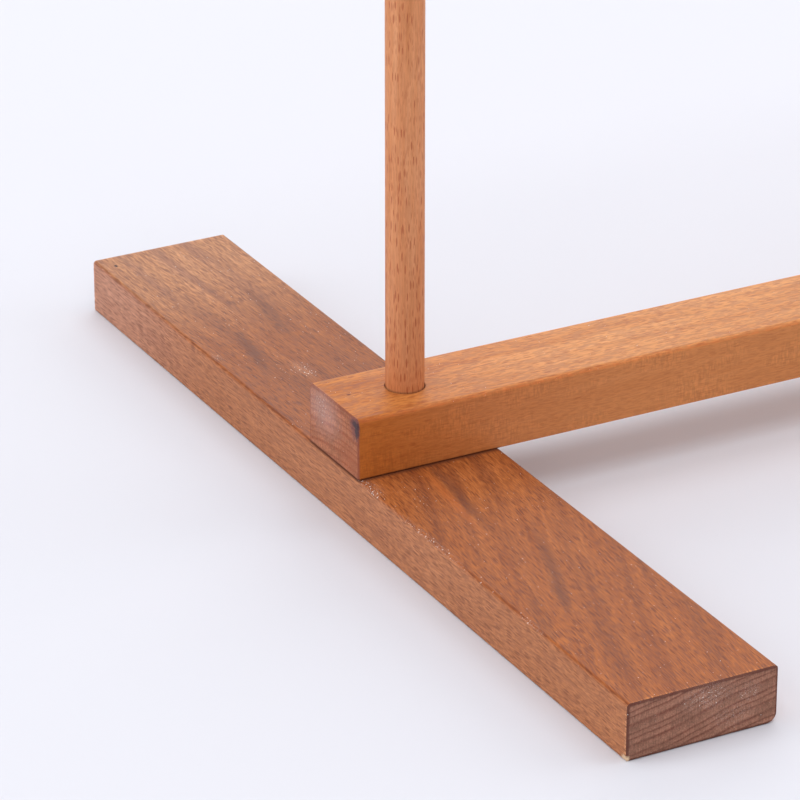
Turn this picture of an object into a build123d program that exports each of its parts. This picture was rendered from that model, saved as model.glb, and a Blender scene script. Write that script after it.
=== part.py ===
from build123d import *
from math import copysign
import os

# Wooden drying rack that comes apart for storage.
# Two feet lie across the ends of a stretcher. Two posts stand in holes at the crossings,
# and a beam on the posts holds arms that point to the back and to the front in turn.
# Origin: middle of the footprint, on the surface that the feet stand on.
# +X runs along the stretcher, +Y along the feet, +Z is up. Sizes are in millimetres.

# Feet: the boards that the rack stands on
foot_length = 350.0
foot_width = 49.0
foot_height = 18.0
foot_top_edge_radius = 1.2
foot_outer_bottom_radius = 0.6
foot_inner_bottom_radius = 3.0

# Stretcher: the bar that joins the feet and lies on them, flush with their outer sides
rack_length = 430.0
stretcher_width = 32.0
stretcher_height = 20.0

# Long edges of the stretcher and the beam, softer on top than below
bar_top_edge_radius = 1.6
bar_bottom_edge_radius = 0.6

# Bevel round the sawn ends of the feet and the bars
end_bevel = 0.4

# Posts: dowels that pass through the stretcher and stand in the feet
post_diameter = 12.0
post_length = 280.0
post_bevel = 1.0
post_clearance = 0.3
post_depth_in_foot = 8.0
post_depth_in_beam = 12.0

# Beam: the bar on top, drilled from below for the posts and from both sides for the arms
beam_width = 32.0
beam_height = 30.0
arm_drop = 10.0

# Arms: thinner dowels, pushed into the beam from the back and the front in turn
arm_count = 11
arm_diameter = 8.0
arm_depth_in_beam = 22.0
arm_clearance = 0.08
arm_bevel = 0.8

# Screws: flat heads under the feet, which hold the stretcher beside each post
screw_length = 30.0
screw_shank_diameter = 4.0
screw_head_diameter = 8.0
screw_head_rim = 0.4
screw_point_length = 5.0
screw_point_diameter = 0.8
screw_sink = 0.5
screw_clearance = 0.05
screw_spread_x = 15.0
screw_spread_y = 7.0
recess_span = 4.2
recess_slot_width = 1.0
recess_depth = 1.7
recess_floor_share = 0.5

# Length by which every cut runs past the face that it opens
cut_overrun = 2.0

# Places worked out from the sizes
foot_middle_x = (rack_length - foot_width) / 2
stretcher_top = foot_height + stretcher_height
post_bottom = foot_height - post_depth_in_foot
post_top = post_bottom + post_length
beam_bottom = post_top - post_depth_in_beam
beam_top = beam_bottom + beam_height
arm_axis_height = beam_top - arm_drop
arm_reach = foot_length / 2
arm_root_y = beam_width / 2 - arm_depth_in_beam
arm_pitch = 2 * foot_middle_x / (arm_count - 1)
post_hole_radius = post_diameter / 2 + post_clearance
arm_hole_radius = arm_diameter / 2 + arm_clearance

bar_radii = [bar_bottom_edge_radius] * 2 + [bar_top_edge_radius] * 2
foot_middles = {"left": -foot_middle_x, "right": foot_middle_x}


def bar_along_x(length, width, height, radii):
    """Bar that lies on Z = 0 with bevelled ends. The radii round its long edges: the front and
    the back one below, then the front and the back one on top."""
    section = Plane.YZ * Pos(0, height / 2) * Rectangle(width, height)
    below, above = section.vertices().group_by(Axis.Z)
    for corner, radius in zip(below.sort_by(Axis.Y) + above.sort_by(Axis.Y), radii):
        section = fillet(section.vertices().sort_by_distance(corner)[0], radius)
    bar = extrude(section, length / 2, both=True)
    ends = bar.faces().sort_by(Axis.X)
    return chamfer(ends[0].edges() + ends[-1].edges(), end_bevel)


def dowel(diameter, length, bevel):
    """Round rod that stands on Z = 0, bevelled at both ends."""
    rod = extrude(Circle(diameter / 2), length)
    return chamfer(rod.edges().filter_by(GeomType.CIRCLE), bevel)


def screw_places(middle_x):
    """The two points beside a post where screws rise through the foot: outer, then inner."""
    side = copysign(1, middle_x)
    return [
        (middle_x + side * screw_spread_x, -screw_spread_y),
        (middle_x - side * screw_spread_x, screw_spread_y),
    ]


def screw():
    """Flat-head wood screw with its head down on Z = 0 and a cross recess in the head."""
    shank = screw_shank_diameter / 2
    head = screw_head_diameter / 2
    profile = Polyline(
        (0, 0),
        (head, 0),
        (head, screw_head_rim),
        (shank, screw_head_rim + head - shank),
        (shank, screw_length - screw_point_length),
        (screw_point_diameter / 2, screw_length),
        (0, screw_length),
        close=True,
    )
    slot = Rectangle(recess_span, recess_slot_width)
    cross = slot + Rot(0, 0, 90) * slot
    recess = loft([cross, Pos(0, 0, recess_depth) * scale(cross, by=recess_floor_share)], ruled=True)
    return revolve(Plane.XZ * make_face(profile), Axis.Z) - recess


def screw_hole():
    """Cutter for a screw's hole: countersunk at the foot's underside, flat at its far end."""
    shank = screw_shank_diameter / 2 + screw_clearance
    head = screw_head_diameter / 2 + screw_clearance
    cone_top = screw_sink + screw_head_rim + head - shank
    profile = Polyline(
        (0, -cut_overrun),
        (shank + cone_top + cut_overrun, -cut_overrun),
        (shank, cone_top),
        (shank, screw_sink + screw_length + screw_clearance),
        (0, screw_sink + screw_length + screw_clearance),
        close=True,
    )
    return revolve(Plane.XZ * make_face(profile), Axis.Z)


def holes_for_screws(middle_x):
    """Cutters for the two screws of one foot, open at the foot's underside."""
    return [Pos(x, y) * screw_hole() for x, y in screw_places(middle_x)]


def hole_for_post(middle_x):
    """Cutter for one post's hole, from its floor in the foot up past the stretcher."""
    depth = stretcher_top + cut_overrun - post_bottom
    cutter = extrude(Circle(post_hole_radius), depth)
    return Pos(middle_x, 0, post_bottom) * cutter


def make_foot(middle_x):
    """Foot board, drilled for the post and countersunk below for the screws. Its lower edge
    towards the rack's middle is well rounded, and the outer one only eased."""
    below = [foot_inner_bottom_radius, foot_outer_bottom_radius]
    if middle_x > 0:
        below.reverse()
    radii = below + [foot_top_edge_radius] * 2
    board = bar_along_x(foot_length, foot_width, foot_height, radii)
    board = Pos(middle_x, 0) * Rot(0, 0, 90) * board
    return board - [hole_for_post(middle_x)] - holes_for_screws(middle_x)


def make_stretcher():
    """Bar across the feet with a through hole for each post and pilot holes from below."""
    bar = bar_along_x(rack_length, stretcher_width, stretcher_height, bar_radii)
    bar = Pos(0, 0, foot_height) * bar
    for middle_x in foot_middles.values():
        bar = bar - [hole_for_post(middle_x)] - holes_for_screws(middle_x)
    return bar


def make_screws():
    """All the screws as separate solids."""
    places = [place for middle_x in foot_middles.values() for place in screw_places(middle_x)]
    return Compound([Pos(x, y, screw_sink) * screw() for x, y in places])


def make_post(middle_x):
    """Dowel that stands in the foot and carries the beam."""
    return Pos(middle_x, 0, post_bottom) * dowel(post_diameter, post_length, post_bevel)


def arm_places():
    """Name, place along the beam and side of every arm: 1 is the back, -1 the front."""
    places = []
    for index in range(arm_count):
        side = 1 if index % 2 == 0 else -1
        name = f"arm_{'back' if side == 1 else 'front'}_{index // 2 + 1}"
        places.append((name, -foot_middle_x + index * arm_pitch, side))
    return places


def outwards(x, side):
    """Where an arm's rod stands: its foot deep in the beam, its length towards the side."""
    return Pos(x, side * arm_root_y, arm_axis_height) * Rot(-90 * side, 0, 0)


def make_beam():
    """Bar on the posts, with a blind hole for each post and for each arm."""
    bar = bar_along_x(rack_length, beam_width, beam_height, bar_radii)
    bar = Pos(0, 0, beam_bottom) * bar
    post_hole = extrude(Circle(post_hole_radius), post_depth_in_beam + cut_overrun)
    bar = bar - [Pos(x, 0, beam_bottom - cut_overrun) * post_hole for x in foot_middles.values()]
    arm_hole = extrude(Circle(arm_hole_radius), arm_depth_in_beam + cut_overrun)
    return bar - [outwards(x, side) * arm_hole for _, x, side in arm_places()]


def make_arm(x, side):
    """Dowel from deep in the beam out to the reach of the feet."""
    return outwards(x, side) * dowel(arm_diameter, arm_reach - arm_root_y, arm_bevel)


os.makedirs("parts", exist_ok=True)

for side_name, foot_x in foot_middles.items():
    export_step(make_foot(foot_x), f"parts/foot_{side_name}.step")
    export_step(make_post(foot_x), f"parts/post_{side_name}.step")

export_step(make_stretcher(), "parts/stretcher.step")
export_step(make_screws(), "parts/foot_screws.step")
export_step(make_beam(), "parts/top_beam.step")

for arm_name, arm_x, arm_side in arm_places():
    export_step(make_arm(arm_x, arm_side), f"parts/{arm_name}.step")
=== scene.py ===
"""Looks of a wooden drying rack: oiled beech with its grain, flecks and end grain, zinc-plated
screws, a pale floor, soft light and the photograph's camera. Places are in metres, as in the
frame. The wood's patterns are in millimetres, which suits the size of grain."""

from dataclasses import dataclass
from math import radians
from typing import Callable

import bpy
from mathutils import Matrix, Vector


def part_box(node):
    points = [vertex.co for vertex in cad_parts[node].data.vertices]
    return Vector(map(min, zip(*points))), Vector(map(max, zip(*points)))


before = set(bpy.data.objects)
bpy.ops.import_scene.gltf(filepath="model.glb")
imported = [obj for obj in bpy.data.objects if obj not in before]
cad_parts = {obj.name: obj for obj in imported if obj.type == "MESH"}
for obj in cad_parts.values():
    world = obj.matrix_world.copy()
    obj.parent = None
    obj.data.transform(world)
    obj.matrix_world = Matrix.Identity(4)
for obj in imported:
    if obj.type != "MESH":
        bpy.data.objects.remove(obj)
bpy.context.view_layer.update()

MM_PER_M = 1000.0

# Camera, worked out from the straight edges of the near foot and the stretcher
CAMERA_PLACE = (-0.80052, -1.13648, 0.63404)
CAMERA_AZIMUTH = -28.159
CAMERA_ELEVATION = 24.982
CAMERA_ROLL = -0.008
CAMERA_LENS_MM = 209.71
CAMERA_SENSOR_MM = 36.0

# Order of the row's axes as (along the grain, across it, up or across again)
GRAIN_ORDERS = {"x": (0, 1, 2), "y": (1, 0, 2), "z": (2, 0, 1)}


def middle_of(node, grain="x"):
    """Middle of a node in millimetres, along the grain, across it and up."""
    low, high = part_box(node)
    return [MM_PER_M * (low[i] + high[i]) / 2 for i in GRAIN_ORDERS[grain]]


def half_of(node, grain="x"):
    """Half sizes of a node in millimetres, in the same order."""
    low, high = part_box(node)
    return [MM_PER_M * (high[i] - low[i]) / 2 for i in GRAIN_ORDERS[grain]]


# Faces that marks, dust, painted shade and darker rings lie on, and the posts' place, in millimetres
LEFT_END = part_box("stretcher")[0].x * MM_PER_M
RIGHT_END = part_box("stretcher")[1].x * MM_PER_M
STRETCHER_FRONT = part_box("stretcher")[0].y * MM_PER_M
STRETCHER_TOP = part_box("stretcher")[1].z * MM_PER_M
FOOT_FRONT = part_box("foot_left")[0].y * MM_PER_M
FOOT_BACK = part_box("foot_left")[1].y * MM_PER_M
FOOT_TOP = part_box("foot_left")[1].z * MM_PER_M
FOOT_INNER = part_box("foot_left")[1].x * MM_PER_M
POST_X = middle_of("post_right")[0]
POST_RADIUS = half_of("post_right")[0]

# Distance from a foot's middle, in millimetres, at which its grain starts to lean
LEAN_START = 20.0


class Shader:
    """Adds nodes to one material and links them. A value fed to a socket is a number, a
    colour or another node's output."""

    def __init__(self, name):
        self.material = bpy.data.materials.new(name)
        self.material.use_nodes = True
        self.tree = self.material.node_tree
        self.tree.nodes.clear()

    def add(self, kind, feeds, output=0, **settings):
        node = self.tree.nodes.new("ShaderNode" + kind)
        for key, value in settings.items():
            setattr(node, key, value)
        for key, value in feeds.items():
            if isinstance(value, bpy.types.NodeSocket):
                self.tree.links.new(value, node.inputs[key])
            else:
                node.inputs[key].default_value = value
        return node.outputs[output]

    def math(self, operation, a, b=0.0, c=0.0):
        return self.add("Math", {0: a, 1: b, 2: c}, operation=operation)

    def scaled(self, value, factor, offset=0.0):
        return self.math("MULTIPLY_ADD", value, factor, offset)

    def total(self, first, *others):
        for value in others:
            first = self.math("ADD", first, value)
        return first

    def product(self, first, *others):
        for value in others:
            first = self.math("MULTIPLY", first, value)
        return first

    def vector(self, operation, a, b=(0.0, 0.0, 0.0)):
        return self.add("VectorMath", {0: a, 1: b}, operation=operation)

    def length(self, vector):
        return self.add("VectorMath", {0: vector}, output="Value", operation="LENGTH")

    def combine(self, x, y, z):
        return self.add("CombineXYZ", {0: x, 1: y, 2: z})

    def separate(self, vector):
        return list(self.add("SeparateXYZ", {0: vector}).node.outputs)

    def noise(self, vector, detail=2.0, roughness=0.5):
        feeds = {"Vector": vector, "Scale": 1.0, "Detail": detail, "Roughness": roughness}
        return self.add("TexNoise", feeds)

    def cells(self, vector):
        """Scattered spots: how far the nearest one is, and a random number of its own."""
        feeds = {"Vector": vector, "Scale": 1.0, "Randomness": 1.0}
        node = self.add("TexVoronoi", feeds, voronoi_dimensions="3D", feature="F1").node
        return node.outputs["Distance"], self.separate(node.outputs["Color"])[0]

    def span(self, value, low, high, to_low=0.0, to_high=1.0):
        """Value between low and high, turned smoothly into to_low to to_high."""
        feeds = {"Value": value, "From Min": low, "From Max": high}
        feeds.update({"To Min": to_low, "To Max": to_high})
        return self.add("MapRange", feeds, interpolation_type="SMOOTHSTEP", clamp=True)

    def mix(self, share, a, b):
        return self.add("MixRGB", {"Fac": share, "Color1": a, "Color2": b}, blend_type="MIX")

    def tint(self, colour, factor, share=1.0):
        """Colour multiplied by a factor, as far as share says."""
        return self.add("MixRGB", {"Fac": share, "Color1": colour, "Color2": factor}, blend_type="MULTIPLY")

    def finish(self, surface):
        node = self.tree.nodes.new("ShaderNodeOutputMaterial")
        self.tree.links.new(surface, node.inputs["Surface"])
        return self.material


@dataclass(frozen=True)
class Tones:
    """Colours of one wood on the long grain and on the sawn ends. flank and edge are tints: of
    the faces that look sideways across the grain, partly a different cut and partly painted
    light, and of the long edges, worn on the feet and with a painted highlight on the bars."""
    light: tuple
    mid: tuple
    dark: tuple
    ring: tuple
    fleck: tuple
    flank: tuple
    edge: tuple
    end_light: tuple
    end_dark: tuple
    rim: tuple


@dataclass(frozen=True)
class Mark:
    """Knot, pip, chip or stain: its middle and half sizes in millimetres, its colour, how far
    it covers the wood, how softly it ends, and how far it runs along X for each millimetre
    along Y."""
    place: tuple
    size: tuple
    colour: tuple
    cover: float = 1.0
    softness: float = 0.35
    lean: float = 0.0


@dataclass(frozen=True)
class Wood:
    """Everything that sets one board or dowel apart from the next. Sizes are in millimetres.
    node is the board whose edges the edge tint follows, wear on the feet and a painted highlight on the
    bars, and None for a dowel.
    rings is a function for a level that climbs by ring_pitch from one growth ring to the next.
    dash_size is that of the soft strokes along the grain, across it and up. pore_size is the
    length and the width of the fine dark pores, and the flecks are the larger dashes.
    flank_dashes is how much of the strokes and the pores the sideways faces keep.
    The leans are how far the grain runs across a board for each millimetre along it: that of
    the fibres in its far and its near half, and that of the rings in its near half. A drift is
    a slow change of colour along the grain: where it starts, where it ends, and its tint. Some
    drifts are a painted sheen.
    flank_drift is how much of it the sideways faces take. frayed is how torn the fibres are along
    the edges of the sawn ends, and cross_figure how strong the ticks on the sideways faces are.
    dust is how much lies loose, and a dust heap is the middle, the half sizes and the share of
    a place where more has gathered.
    seam_shade_and_hole_ring is a function for how dark a place is painted by the joints with other pieces:
    painted shade where the stretcher lies on the feet, and darker rings round the posts' holes and on the
    posts there."""
    name: str
    grain: str
    node: str
    tones: Tones
    rings: Callable
    ring_pitch: float
    ring_strength: float
    dash_size: tuple
    dash_strength: float
    flank_dashes: float
    fleck_length: float
    fleck_width: float
    fleck_share: float
    fleck_strength: float
    pore_size: tuple
    pore_strength: float
    cross_figure: float
    specular: float
    drifts: tuple = ()
    flank_drift: float = 1.0
    frayed: float = 0.0
    far_lean: float = 0.0
    near_lean: float = 0.0
    ring_lean: float = 0.0
    dust: float = 0.0
    dust_heaps: tuple = ()
    marks: tuple = ()
    seam_shade_and_hole_ring: Callable = None


@dataclass(frozen=True)
class Grain:
    """Where a point of the wood is and which way it faces. Distances are in millimetres: along
    the grain, across it and up. straight is across with the lean of the fibres taken out, and
    figure the same for the rings. at_end, flank and edge are 1 on the sawn ends, on the faces
    that look sideways across the grain and on the eased edges."""
    along: object
    across: object
    up: object
    straight: object
    figure: object
    place: object
    normal: list
    at_end: object
    flank: object
    edge: object


def rgba(red, green, blue):
    return (red, green, blue, 1.0)


def arched_rings(pith_across, pith_up):
    """Growth rings as circles round a pith outside the board."""
    def level(sh, across, up):
        return sh.length(sh.combine(sh.scaled(across, 1.0, -pith_across), sh.scaled(up, 1.0, -pith_up), 0.0))
    return level


def leaning_rings(edge, side):
    """Growth rings that rise in a long S from the outer edge of a flat-sawn board."""
    def level(sh, across, up):
        inwards = sh.scaled(across, side, -side * edge)
        rise = sh.total(sh.scaled(inwards, 0.16), sh.span(inwards, 10.0, 38.0, 0.0, 2.6))
        return sh.math("SUBTRACT", up, rise)
    return level


def stretched(sh, along, across, up, length, width, depth=None):
    """Pattern space in which one unit is length along, width across and depth up."""
    return sh.vector("DIVIDE", sh.combine(along, across, up), (length, width, depth or width))


def read_grain(sh, wood):
    """The row's own millimetres and normal, turned into the board's grain."""
    place = sh.vector("MULTIPLY", sh.add("TexCoord", {}, output="Object"), (MM_PER_M,) * 3)
    axes = sh.separate(place)
    order = GRAIN_ORDERS[wood.grain]
    along, across, up = (axes[i] for i in order)
    sway = sh.noise(stretched(sh, along, across, up, 130.0, 45.0))
    far = sh.math("SMOOTH_MAX", sh.scaled(along, 1.0, -LEAN_START), 0.0, 30.0)
    near = sh.math("SMOOTH_MAX", sh.scaled(along, -1.0, -LEAN_START), 0.0, 30.0)
    bow = sh.total(across, sh.scaled(sway, 5.0, -2.5), sh.scaled(far, wood.far_lean))
    straight = sh.total(bow, sh.scaled(near, wood.near_lean))
    near_end = -FOOT_FRONT - LEAN_START
    figure = sh.total(bow, sh.scaled(near, wood.ring_lean, -wood.ring_lean * near_end))

    normal = sh.separate(sh.add("TexCoord", {}, output="Normal"))
    facing = [sh.math("ABSOLUTE", part) for part in normal]
    at_end = sh.span(facing[order[0]], 0.56, 0.69)
    flank = sh.span(facing[order[1]], 0.62, 0.85)
    squarest = sh.math("MAXIMUM", sh.math("MAXIMUM", facing[0], facing[1]), facing[2])
    edge = sh.span(squarest, 0.995, 0.9)
    if wood.node is None:
        flank = 0.0
        edge = 0.0
    return Grain(along, across, up, straight, figure, place, normal, at_end, flank, edge)


def ring_phase(sh, wood, grain):
    """Place within a growth ring, from 0 just after a dark line to 1 at the next."""
    wobble = sh.noise(stretched(sh, grain.along, grain.figure, grain.up, 60.0, 8.0), detail=3.0)
    level = sh.total(wood.rings(sh, grain.figure, grain.up), wobble)
    rings = sh.scaled(level, 1.0 / wood.ring_pitch)
    uneven = sh.scaled(sh.math("SINE", sh.scaled(rings, 1.9)), 0.22)
    return sh.math("FRACT", sh.total(rings, uneven))


def flecks(sh, grain, length, width, share):
    """Short dashes along the grain, where the rays are cut: 1 in a dash, 0 between them."""
    wander = sh.noise(stretched(sh, grain.along, grain.straight, grain.up, length, width * 3.0), detail=1.0)
    bent = sh.total(grain.straight, sh.scaled(wander, width))
    distance, chance = sh.cells(stretched(sh, grain.along, bent, grain.up, length * 1.7, width * 2.4))
    dash = sh.span(distance, 0.46, 0.24)
    return sh.product(dash, sh.span(chance, 1.0 - share, 1.0 - share * 0.4))


def side_colour(sh, wood, grain, phase):
    """Long-grain colour: tone bands, soft growth rings, fine dashes and ray flecks."""
    tones = wood.tones
    along, straight, up = grain.along, grain.straight, grain.up
    band = sh.noise(stretched(sh, along, grain.figure, up, 110.0, 9.0), detail=3.0, roughness=0.55)
    streak = sh.noise(stretched(sh, along, grain.figure, up, 60.0, 2.6), detail=3.0, roughness=0.6)
    cloud = sh.noise(stretched(sh, along, straight, up, 22.0, 8.0))
    tone = sh.total(sh.scaled(band, 0.35), sh.scaled(streak, 0.5), sh.scaled(cloud, 0.15))
    colour = sh.mix(sh.span(tone, 0.38, 0.5), tones.dark, tones.mid)
    colour = sh.mix(sh.span(tone, 0.5, 0.62), colour, tones.light)
    late = sh.span(sh.math("COSINE", sh.scaled(phase, 6.2832)), -0.3, 1.0)
    patchy = sh.noise(stretched(sh, along, grain.figure, up, 45.0, 7.0))
    late = sh.product(late, sh.span(patchy, 0.3, 0.65, 0.1, 1.0), wood.ring_strength)
    late = sh.product(late, sh.scaled(grain.flank, -0.8, 1.0))
    colour = sh.mix(late, colour, tones.ring)
    colour = sh.mix(sh.scaled(grain.flank, 0.5), colour, tones.mid)
    # Sideways faces tinted: partly a different cut, partly painted light, lighter on the feet's sides and
    # darker on the bars' fronts and backs
    colour = sh.tint(colour, tones.flank, grain.flank)

    length, width, depth = wood.dash_size
    dashes = sh.noise(stretched(sh, along, straight, up, length, width, depth), detail=1.0)
    fibre = sh.noise(stretched(sh, along, straight, up, length * 3.5, width * 1.4, depth * 1.4), detail=1.0)
    flat = sh.scaled(grain.flank, wood.flank_dashes - 1.0, 1.0)
    for strokes, power in ((dashes, wood.dash_strength), (fibre, wood.dash_strength * 0.3)):
        deep = rgba(1.0 - power, 1.0 - power * 1.2, 1.0 - power * 1.3)
        pale = rgba(1.0 + power, 1.0 + power * 1.4, 1.0 + power * 1.8)
        colour = sh.tint(colour, sh.mix(sh.span(strokes, 0.41, 0.59), deep, pale), flat)
    ticks = sh.noise(stretched(sh, along, straight, up, 0.6, 2.5, 2.2), detail=1.0)
    ticks = sh.span(ticks, 0.34, 0.66, 1.0 - wood.cross_figure, 1.0 + wood.cross_figure)
    colour = sh.tint(colour, ticks, sh.product(grain.flank, sh.span(cloud, 0.4, 0.6)))
    small = flecks(sh, grain, *wood.pore_size, 0.95)
    bold = flecks(sh, grain, wood.fleck_length, wood.fleck_width, wood.fleck_share)
    bold = sh.product(bold, wood.fleck_strength, sh.scaled(grain.flank, -0.45, 1.0))
    colour = sh.mix(sh.product(small, wood.pore_strength, flat), colour, tones.fleck)
    colour = sh.mix(bold, colour, tones.fleck)
    return colour, dashes, bold


def end_gap(sh, wood, grain):
    """How far a point of a sawn end lies from the end's nearest long edge."""
    middle = middle_of(wood.node, wood.grain)
    half = half_of(wood.node, wood.grain)
    gaps = []
    for value, centre, reach in zip((grain.across, grain.up), middle[1:], half[1:]):
        off_centre = sh.math("ABSOLUTE", sh.scaled(value, 1.0, -centre))
        gaps.append(sh.scaled(off_centre, -1.0, reach))
    return sh.math("MINIMUM", *gaps)


def end_colour(sh, wood, grain, phase):
    """Sawn-end colour: ring lines, pale rays across them, a fuzzy cut and a dark rim."""
    tones = wood.tones
    along, figure, up = grain.along, grain.figure, grain.up
    cloud = sh.noise(stretched(sh, along, figure, up, 9.0, 6.0, 4.0), detail=3.0)
    line = sh.math("MAXIMUM", sh.span(phase, 0.25, 0.0), sh.span(phase, 0.62, 1.0))
    line = sh.product(line, sh.span(cloud, 0.3, 0.6, 0.5, 1.0))
    shade = sh.span(phase, 1.0, 0.2, 0.3, 0.0)
    colour = sh.mix(sh.math("MAXIMUM", line, shade), tones.end_light, tones.end_dark)
    rays = sh.noise(stretched(sh, along, figure, up, 30.0, 0.4, 3.0), roughness=0.6)
    colour = sh.tint(colour, sh.span(rays, 0.36, 0.64, 0.88, 1.12))
    speckle = sh.noise(stretched(sh, along, figure, up, 0.4, 0.4), detail=1.0)
    colour = sh.tint(colour, sh.span(speckle, 0.34, 0.66, 0.84, 1.16))
    colour = sh.tint(colour, sh.span(cloud, 0.35, 0.65, 0.88, 1.12))
    if wood.node is not None:
        ragged = sh.noise(stretched(sh, along, grain.across, up, 1.2, 1.2))
        gap = sh.total(end_gap(sh, wood, grain), sh.scaled(ragged, 0.8, -0.4))
        colour = sh.mix(sh.span(gap, 1.1, 0.35, 0.0, 0.85), colour, tones.rim)
    return colour, speckle


def frays(sh, wood, grain):
    """1 on the pale torn fibres along the edge of a sawn end."""
    middle = middle_of(wood.node, wood.grain)[0]
    half = half_of(wood.node, wood.grain)[0]
    off_centre = sh.math("ABSOLUTE", sh.scaled(grain.along, 1.0, -middle))
    close = sh.span(off_centre, half - 1.6, half - 0.5)
    torn = sh.noise(stretched(sh, grain.along, grain.across, grain.up, 2.5, 0.5), roughness=0.6)
    return sh.product(close, sh.span(torn, 0.5, 0.58))


def add_marks(sh, wood, grain, colour):
    """Small knots, chips, pips and stains, each a ragged spot."""
    ragged = sh.noise(sh.vector("DIVIDE", grain.place, (0.9, 0.9, 0.9)))
    ragged = sh.scaled(ragged, 1.0, -0.5)
    for mark in wood.marks:
        x, y, z = sh.separate(sh.vector("SUBTRACT", grain.place, mark.place))
        offset = sh.combine(sh.total(x, sh.scaled(y, -mark.lean)), y, z)
        reach = sh.total(sh.length(sh.vector("DIVIDE", offset, mark.size)), ragged)
        covered = sh.span(reach, 1.0 + mark.softness, 1.0 - mark.softness, 0.0, mark.cover)
        colour = sh.mix(covered, colour, mark.colour)
    return colour


def dust(sh, wood, grain):
    """Irregular white crumbs on what faces up and on the sawn ends, most where they have
    gathered, and a film between them. Returns the crumbs and the film, each from 0 to 1."""
    place = grain.place
    bare = sh.math("MAXIMUM", sh.span(grain.normal[2], 0.2, 0.6), grain.at_end)
    heap = 0.0
    for middle, size, share in wood.dust_heaps:
        offset = sh.vector("DIVIDE", sh.vector("SUBTRACT", place, middle), size)
        heap = sh.math("MAXIMUM", heap, sh.span(sh.length(offset), 1.3, 0.3, 0.0, share))
    where = sh.noise(sh.vector("DIVIDE", place, (14.0, 20.0, 14.0)))
    gathered = sh.math("MAXIMUM", heap, sh.span(where, 0.45, 0.7, 0.0, 0.2 * wood.dust))
    speck = sh.noise(sh.vector("DIVIDE", place, (0.55, 0.7, 0.55)), detail=1.0)
    level = sh.total(speck, sh.scaled(gathered, 0.13))
    crumbs = sh.product(sh.span(level, 0.78, 0.81), bare)
    fine = sh.noise(sh.vector("DIVIDE", place, (0.3, 0.3, 0.3)), detail=1.0)
    film = sh.product(heap, sh.span(fine, 0.48, 0.68, 0.0, 0.6), bare)
    return crumbs, film


def seam_shade_on_foot(sh, grain):
    """Painted shade: 1 on the strip where the stretcher lies, fading just outside it."""
    half = half_of("stretcher")[1]
    beside = sh.span(sh.math("ABSOLUTE", grain.along), half + 2.4, half - 0.2, 0.0, 0.85)
    return sh.product(beside, sh.span(grain.up, FOOT_TOP - 0.9, FOOT_TOP - 0.3))


def stretcher_seam_shade_and_hole_ring(sh, grain):
    """1 in a darker ring round the posts' holes, and in painted shade low down where the stretcher lies on
    the feet.
    """
    x_aside = sh.math("ABSOLUTE", grain.along)
    from_post = sh.length(sh.combine(sh.scaled(x_aside, 1.0, -POST_X), grain.across, 0.0))
    hole = sh.span(from_post, POST_RADIUS + 0.9, POST_RADIUS + 0.3, 0.0, 0.25)
    hole = sh.product(hole, sh.span(grain.normal[2], 0.6, 0.8))
    # Painted shade low down where the stretcher lies on a foot
    seam = sh.span(grain.up, FOOT_TOP + 0.8, FOOT_TOP + 0.2, 0.0, 0.8)
    over_foot = sh.span(x_aside, -FOOT_INNER - 1.0, -FOOT_INNER + 1.0)
    return sh.math("MAXIMUM", hole, sh.product(seam, over_foot))


def post_hole_ring(sh, grain):
    """1 in a thin ring where the post goes into the stretcher."""
    above = sh.span(grain.along, STRETCHER_TOP + 0.7, STRETCHER_TOP + 0.1, 0.0, 0.3)
    return sh.product(above, sh.span(grain.along, STRETCHER_TOP - 1.2, STRETCHER_TOP - 0.3))


def make_wood(wood):
    """Oiled beech from a solid pattern, so that sides, ends, holes and edges agree."""
    sh = Shader(wood.name)
    grain = read_grain(sh, wood)
    phase = ring_phase(sh, wood, grain)
    side, dashes, bold = side_colour(sh, wood, grain, phase)
    drifting = sh.scaled(grain.flank, wood.flank_drift - 1.0, 1.0)
    # Slow changes of colour along the grain; some are a painted sheen
    for start, stop, tint in wood.drifts:
        side = sh.tint(side, tint, sh.product(sh.span(grain.along, start, stop), drifting))
    if wood.node is not None:
        # Edge tint on the rounded long edges: wear on the feet, a painted highlight on the bars
        wear_and_highlight = sh.noise(sh.vector("DIVIDE", grain.place, (2.5, 2.5, 2.5)), detail=3.0)
        wear_and_highlight = sh.product(grain.edge, sh.span(wear_and_highlight, 0.35, 0.65, 0.3, 0.9))
        side = sh.tint(side, wood.tones.edge, wear_and_highlight)
        side = sh.tint(side, TORN_FIBRES, sh.scaled(frays(sh, wood, grain), wood.frayed))
    end, speckle = end_colour(sh, wood, grain, phase)
    colour = add_marks(sh, wood, grain, sh.mix(grain.at_end, side, end))
    # Painted shade where the stretcher lies on the feet, and darker rings round the posts' holes
    if wood.seam_shade_and_hole_ring:
        colour = sh.mix(wood.seam_shade_and_hole_ring(sh, grain), colour, SEAM_SHADE_AND_HOLE_RING)
    relief = sh.total(sh.scaled(dashes, 0.6), sh.scaled(bold, -0.6))
    height = sh.mix(grain.at_end, relief, speckle)
    if wood.dust:
        crumbs, film = dust(sh, wood, grain)
        colour = sh.mix(sh.scaled(film, 0.6), colour, DUST_FILM)
        colour = sh.mix(crumbs, colour, DUST_CRUMBS)
        height = sh.total(height, crumbs)

    bump = sh.add("Bump", {"Strength": 0.6, "Distance": 0.00014, "Height": height})
    roughness = sh.total(sh.span(dashes, 0.35, 0.65, 0.5, 0.62), sh.scaled(grain.at_end, 0.22))
    feeds = {"Base Color": colour, "Roughness": roughness, "Normal": bump, "IOR": 1.5}
    feeds["Specular IOR Level"] = wood.specular
    return sh.finish(sh.add("BsdfPrincipled", feeds))


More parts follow.
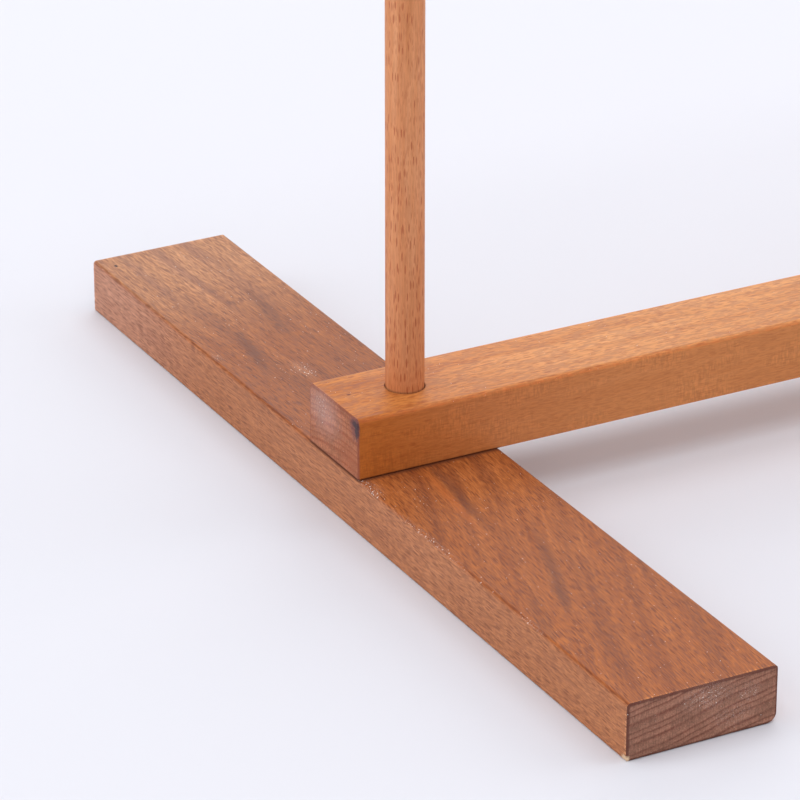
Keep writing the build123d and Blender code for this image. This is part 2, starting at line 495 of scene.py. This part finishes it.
def make_screw_steel():
    """Bright zinc plate, a little yellow, with fine turning marks."""
    sh = Shader("screw_zinc")
    place = sh.vector("MULTIPLY", sh.add("TexCoord", {}, output="Object"), (MM_PER_M,) * 3)
    cloud = sh.noise(sh.vector("DIVIDE", place, (2.0, 2.0, 2.0)), detail=3.0)
    marks = sh.noise(sh.vector("DIVIDE", place, (0.25, 1.5, 0.1)))
    colour = sh.mix(sh.span(cloud, 0.35, 0.65), rgba(0.55, 0.5, 0.38), rgba(0.72, 0.69, 0.6))
    bump = sh.add("Bump", {"Strength": 0.3, "Distance": 0.00003, "Height": marks})
    feeds = {"Base Color": colour, "Metallic": 1.0, "Roughness": sh.span(marks, 0.3, 0.7, 0.26, 0.42)}
    return sh.finish(sh.add("BsdfPrincipled", {**feeds, "Normal": bump}))


# Colour of the painted shade and the darker rings by the joints, colours of the dust, and the tint of torn
# fibres
SEAM_SHADE_AND_HOLE_RING = rgba(0.12, 0.03, 0.012)
DUST_FILM = rgba(0.68, 0.54, 0.48)
DUST_CRUMBS = rgba(0.94, 0.88, 0.82)
TORN_FIBRES = rgba(1.5, 1.9, 2.4)

FOOT_TONES = Tones(
    light=rgba(0.430, 0.128, 0.029),
    mid=rgba(0.372, 0.104, 0.022),
    dark=rgba(0.304, 0.079, 0.017),
    ring=rgba(0.200, 0.052, 0.017),
    fleck=rgba(0.150, 0.032, 0.009),
    # Feet's sides tinted lighter and paler: partly a different cut, partly painted light
    flank=rgba(1.26, 1.65, 3.05),
    edge=rgba(0.86, 0.72, 0.62),
    end_light=rgba(0.340, 0.158, 0.102),
    end_dark=rgba(0.195, 0.068, 0.044),
    rim=rgba(0.110, 0.030, 0.020),
)
BAR_TONES = Tones(
    light=rgba(0.640, 0.253, 0.081),
    mid=rgba(0.588, 0.218, 0.063),
    dark=rgba(0.540, 0.187, 0.050),
    ring=rgba(0.440, 0.124, 0.028),
    fleck=rgba(0.340, 0.070, 0.014),
    # Fronts and backs of the bars tinted darker and redder: painted shade
    flank=rgba(0.95, 0.84, 0.76),
    # Rounded long edges of the bars tinted brighter orange: a painted highlight
    edge=rgba(1.10, 0.93, 0.82),
    end_light=rgba(0.410, 0.150, 0.074),
    end_dark=rgba(0.300, 0.086, 0.040),
    rim=rgba(0.260, 0.072, 0.038),
)
DOWEL_TONES = Tones(
    light=rgba(0.740, 0.324, 0.148),
    mid=rgba(0.680, 0.268, 0.109),
    dark=rgba(0.600, 0.215, 0.076),
    ring=rgba(0.510, 0.160, 0.053),
    fleck=rgba(0.420, 0.090, 0.026),
    flank=rgba(1.0, 1.0, 1.0),
    edge=rgba(1.0, 1.0, 1.0),
    end_light=rgba(0.400, 0.165, 0.085),
    end_dark=rgba(0.260, 0.080, 0.038),
    rim=rgba(0.260, 0.080, 0.038),
)

# On the stretcher: pale and ruddy parts of the left end, its knot, and a pip and a line on top
STRETCHER_MARKS = (
    Mark(
        place=(LEFT_END, 7.0, STRETCHER_TOP - 6.0), size=(0.7, 9.0, 6.5),
        colour=rgba(0.62, 0.42, 0.40), cover=0.28, softness=0.8,
    ),
    Mark(
        place=(LEFT_END, STRETCHER_FRONT + 5.0, FOOT_TOP + 4.0), size=(0.7, 7.0, 5.0),
        colour=rgba(0.38, 0.095, 0.034), cover=0.4, softness=0.8,
    ),
    Mark(
        place=(LEFT_END, STRETCHER_FRONT + 2.0, STRETCHER_TOP - 3.0), size=(0.6, 3.2, 4.2),
        colour=rgba(0.170, 0.058, 0.062), cover=0.7, softness=0.5,
    ),
    Mark(
        place=(LEFT_END, STRETCHER_FRONT + 1.9, STRETCHER_TOP - 1.9), size=(0.5, 2.1, 1.2),
        colour=rgba(0.055, 0.032, 0.040), cover=0.85, softness=0.5,
    ),
    Mark(
        place=(LEFT_END, STRETCHER_FRONT + 1.1, STRETCHER_TOP - 4.0), size=(0.5, 1.1, 2.3),
        colour=rgba(0.055, 0.032, 0.040), cover=0.85, softness=0.5,
    ),
    Mark(
        place=(LEFT_END + 6.3, 2.1, STRETCHER_TOP), size=(0.8, 0.42, 0.5),
        colour=rgba(0.16, 0.030, 0.012),
    ),
    Mark(
        place=(LEFT_END + 12.6, 7.5, STRETCHER_TOP), size=(3.4, 0.3, 0.5),
        colour=rgba(0.34, 0.09, 0.024), cover=0.7,
    ),
)

# On the left foot: a pip, a chipped corner, dark streaks in the grain and a ruddy one
STREAK = rgba(0.145, 0.042, 0.020)
RUDDY = rgba(0.500, 0.130, 0.024)
FOOT_MARKS = (
    Mark(
        place=(LEFT_END + 4.9, FOOT_BACK - 7.7, FOOT_TOP), size=(0.5, 1.0, 0.6),
        colour=rgba(0.06, 0.018, 0.014),
    ),
    Mark(
        place=(LEFT_END + 0.3, FOOT_FRONT + 1.0, 0.7), size=(0.9, 1.7, 1.1),
        colour=rgba(0.72, 0.50, 0.32),
    ),
) + tuple(
    Mark(
        place=(x, y, FOOT_TOP), size=(half_width, half_length, 2.0),
        colour=colour, cover=cover, softness=0.7, lean=lean,
    )
    for x, y, half_width, half_length, lean, cover, colour in (
        (-192.0, -93.5, 1.9, 22.0, 0.35, 0.6, STREAK),
        (-198.6, -109.0, 1.6, 8.0, 0.24, 0.5, STREAK),
        (-192.8, -38.0, 1.7, 24.0, 0.114, 0.6, STREAK),
        (-196.4, -40.0, 1.3, 20.0, 0.114, 0.5, RUDDY),
        (-201.0, 83.0, 1.8, 15.0, 0.195, 0.6, STREAK),
        (-182.5, 107.0, 2.2, 17.0, 0.098, 0.55, STREAK),
    )
)

# Dust on the left foot: by the stretcher's corner, along the outer edge, before and behind the
# stretcher, and in the near end
FOOT_DUST = (
    ((-215.0, -22.0, FOOT_TOP), (4.5, 8.0, 2.5), 1.0),
    ((-214.6, -62.0, FOOT_TOP - 0.7), (1.8, 24.0, 1.6), 0.95),
    ((-214.6, -121.0, FOOT_TOP - 0.7), (1.2, 8.0, 1.5), 1.0),
    ((-202.0, -46.0, FOOT_TOP), (9.0, 24.0, 2.0), 0.2),
    ((-192.8, 64.0, FOOT_TOP), (3.5, 8.0, 2.0), 0.8),
    ((-213.0, 85.0, FOOT_TOP), (2.0, 4.0, 1.5), 0.6),
    ((-189.0, FOOT_FRONT, 14.0), (9.0, 1.0, 4.5), 0.9),
    ((-175.5, FOOT_FRONT, 12.0), (4.0, 1.0, 3.5), 0.8),
    ((-181.0, FOOT_FRONT, 6.0), (8.0, 1.0, 4.0), 0.6),
)
STRETCHER_DUST = (((LEFT_END, 8.0, STRETCHER_TOP - 5.0), (1.0, 8.0, 5.0), 0.7),)


def foot_wood(node, outer_edge, side, marks, dust_heaps):
    """Dark, streaky wood of a foot. side is 1 on the left foot, and -1 mirrors its grain."""
    return Wood(
        name=node + "_beech", grain="y", node=node, tones=FOOT_TONES,
        rings=leaning_rings(outer_edge, side), ring_pitch=2.3, ring_strength=0.55,
        dash_size=(4.0, 0.4, 0.45), dash_strength=0.18, flank_dashes=0.75, fleck_length=3.6,
        fleck_width=0.26, fleck_share=0.5, fleck_strength=0.4, pore_size=(3.3, 0.27),
        pore_strength=0.7, cross_figure=0.05, specular=0.36,
        far_lean=0.05 * side, near_lean=0.09 * side, ring_lean=0.37 * side,
        # Darker from 10 to 45 mm, a painted sheen that pales the far end from 80 to 165 mm, and yellower
        # towards the near end
        drifts=(
            (10.0, 45.0, rgba(0.84, 0.82, 0.82)),
            (80.0, 165.0, rgba(1.50, 2.34, 4.70)),
            (-50.0, -150.0, rgba(0.95, 0.89, 0.70)),
        ),
        flank_drift=0.3, frayed=1.0,
        dust=1.0, dust_heaps=dust_heaps, marks=marks, seam_shade_and_hole_ring=seam_shade_on_foot,
    )


def bar_wood(node, pith, marks, dust_share, dust_heaps, seam_shade_and_hole_ring):
    """Light, even wood of the stretcher and the beam."""
    return Wood(
        name=node + "_beech", grain="x", node=node, tones=BAR_TONES, rings=arched_rings(*pith),
        ring_pitch=2.3, ring_strength=0.3, dash_size=(3.0, 0.9, 0.45), dash_strength=0.11,
        flank_dashes=0.45, fleck_length=2.4, fleck_width=0.26, fleck_share=0.4, fleck_strength=0.45,
        pore_size=(2.2, 0.38), pore_strength=0.45, cross_figure=0.09, specular=0.38,
        # Darker and redder over the last 45 mm of the left end, and a painted sheen that pales the top from
        # 40 to 100 mm in
        drifts=(
            (LEFT_END + 45.0, LEFT_END, rgba(0.85, 0.70, 0.35)),
            (LEFT_END + 40.0, LEFT_END + 100.0, rgba(1.06, 1.15, 1.26)),
        ),
        dust=dust_share, dust_heaps=dust_heaps, marks=marks, seam_shade_and_hole_ring=seam_shade_and_hole_ring,
    )


def dowel_wood(name, grain, pith, drifts=(), seam_shade_and_hole_ring=None):
    """Pale, smooth wood of the posts and the arms."""
    return Wood(
        name=name, grain=grain, node=None, tones=DOWEL_TONES, rings=arched_rings(*pith),
        ring_pitch=2.6, ring_strength=0.22, dash_size=(5.0, 0.5, 0.5), dash_strength=0.05,
        flank_dashes=1.0, fleck_length=2.6, fleck_width=0.25, fleck_share=0.6, fleck_strength=0.75,
        pore_size=(1.6, 0.2), pore_strength=0.3, cross_figure=0.0, specular=0.4, drifts=drifts, seam_shade_and_hole_ring=seam_shade_and_hole_ring,
    )


def post_wood(node, pith):
    """Dowel that is a little darker towards the stretcher."""
    darker_below = (120.0, STRETCHER_TOP, rgba(0.90, 0.84, 0.79))
    return dowel_wood(node + "_beech", "z", pith, (darker_below,), post_hole_ring)


def paint(node, material):
    """Gives a node of the frame its material through its object's own slot."""
    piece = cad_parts[node]
    if not piece.material_slots:
        piece.data.materials.append(None)
    for material_slot in piece.material_slots:
        material_slot.link = "OBJECT"
        material_slot.material = material


def dress():
    """Every node gets its wood or metal."""
    bars = {
        "stretcher": bar_wood(
            "stretcher", (-11.0, -80.0), STRETCHER_MARKS, 0.6, STRETCHER_DUST, stretcher_seam_shade_and_hole_ring
        ),
        "top_beam": bar_wood("top_beam", (38.0, 210.0), (), 0.0, (), None),
    }
    feet = {
        "foot_left": foot_wood("foot_left", LEFT_END, 1.0, FOOT_MARKS, FOOT_DUST),
        "foot_right": foot_wood("foot_right", RIGHT_END, -1.0, (), ()),
    }
    posts = {
        "post_left": post_wood("post_left", (-240.0, -60.0)),
        "post_right": post_wood("post_right", (160.0, 70.0)),
    }
    for node, wood in (bars | feet | posts).items():
        paint(node, make_wood(wood))
    arm_beech = make_wood(dowel_wood("arm_beech", "y", (40.0, 380.0)))
    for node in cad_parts:
        if node.startswith("arm_"):
            paint(node, arm_beech)
    paint("foot_screws", make_screw_steel())


def make_floor():
    """Pale matt table top that runs out past every view."""
    half = 12.0
    corners = [(-half, -half, 0.0), (half, -half, 0.0), (half, half, 0.0), (-half, half, 0.0)]
    mesh = bpy.data.meshes.new("floor")
    mesh.from_pydata(corners, [], [(0, 1, 2, 3)])
    floor = bpy.data.objects.new("floor", mesh)
    bpy.context.scene.collection.objects.link(floor)
    sh = Shader("floor_pale")
    feeds = {"Base Color": rgba(0.733, 0.742, 0.812), "Roughness": 0.7, "Specular IOR Level": 0.2}
    mesh.materials.append(sh.finish(sh.add("BsdfPrincipled", feeds)))


def add_soft_box(name, place, aim, width, height, power):
    """Large soft rectangle of light at a place, turned towards the aim."""
    light = bpy.data.lights.new(name, "AREA")
    light.shape = "RECTANGLE"
    light.size = width
    light.size_y = height
    light.energy = power
    lamp = bpy.data.objects.new(name, light)
    turn = (Vector(aim) - Vector(place)).to_track_quat("-Z", "Y").to_matrix().to_4x4()
    lamp.matrix_world = Matrix.Translation(place) @ turn
    lamp.visible_camera = False
    bpy.context.scene.collection.objects.link(lamp)


def make_light():
    """A pale room with one wide soft box overhead and weaker ones on the four sides."""
    world = bpy.data.worlds.new("room")
    bpy.context.scene.world = world
    world.use_nodes = True
    background = world.node_tree.nodes["Background"]
    background.inputs["Color"].default_value = rgba(1.0, 1.0, 1.0)
    background.inputs["Strength"].default_value = 0.28
    aim = (0.0, 0.0, 0.1)
    add_soft_box("overhead", (0.0, 0.0, 1.9), (0.0, 0.0, 0.0), 2.4, 2.4, 28.0)
    add_soft_box("back", (1.1, 2.0, 0.9), aim, 3.0, 1.6, 26.5)
    add_soft_box("left", (-2.1, 0.6, 1.1), aim, 1.8, 1.8, 21.0)
    add_soft_box("right", (2.0, -0.6, 1.1), aim, 1.8, 1.8, 16.5)
    add_soft_box("front", (-1.1, -2.0, 1.2), aim, 1.8, 1.8, 13.5)


def make_camera():
    data = bpy.data.cameras.new("camera")
    data.sensor_width = CAMERA_SENSOR_MM
    data.lens = CAMERA_LENS_MM
    camera = bpy.data.objects.new("camera", data)
    camera.matrix_world = (
        Matrix.Translation(CAMERA_PLACE)
        @ Matrix.Rotation(radians(CAMERA_AZIMUTH), 4, "Z")
        @ Matrix.Rotation(radians(90.0 - CAMERA_ELEVATION), 4, "X")
        @ Matrix.Rotation(radians(CAMERA_ROLL), 4, "Z")
    )
    bpy.context.scene.collection.objects.link(camera)
    bpy.context.scene.camera = camera


make_camera()
make_light()
make_floor()
dress()
bpy.context.scene.view_settings.view_transform = "Standard"
